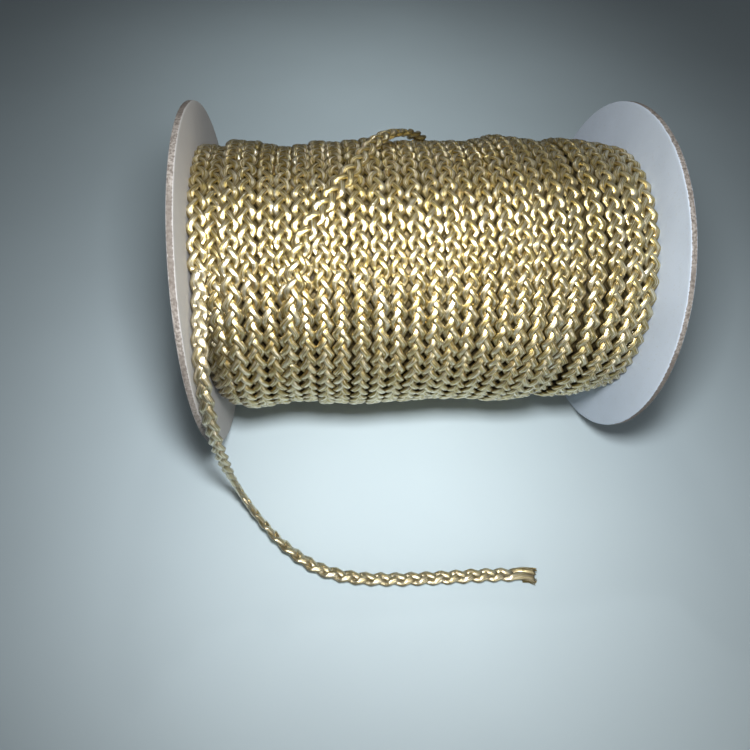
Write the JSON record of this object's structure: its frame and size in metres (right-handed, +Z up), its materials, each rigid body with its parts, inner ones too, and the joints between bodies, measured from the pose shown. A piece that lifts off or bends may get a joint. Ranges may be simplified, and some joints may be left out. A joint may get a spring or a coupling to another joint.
{
  "type": "plaited nylon cord on a card spool",
  "caption": "Flat plaited metallic nylon cord wound in side-by-side turns on a round-flanged card spool, one end loose and lying in front.",
  "frame": {"origin": "on the surface that the spool stands on, straight below the middle of the winding", "axes": "+X along the spool's axis, away from the flange beside which the loose end leaves; +Y towards the back, so that the loose end lies on the -Y side; +Z up"},
  "size_m": [0.1336, 0.1429, 0.1071],
  "materials": {
    "card": "matt white-grey paper over a grey-brown card core, bare core at the rim",
    "wound_cord": "pale gold metallic yarn, plaited in three strands, bright lines of sheen on each strand",
    "loose_cord": "the same pale gold metallic plait, cut and a little frayed at its tip"
  },
  "bodies": {
    "root": {"flange_left": "card", "flange_right": "card", "winding": "wound_cord", "loose_end": "loose_cord"}
  },
  "joints": []
}
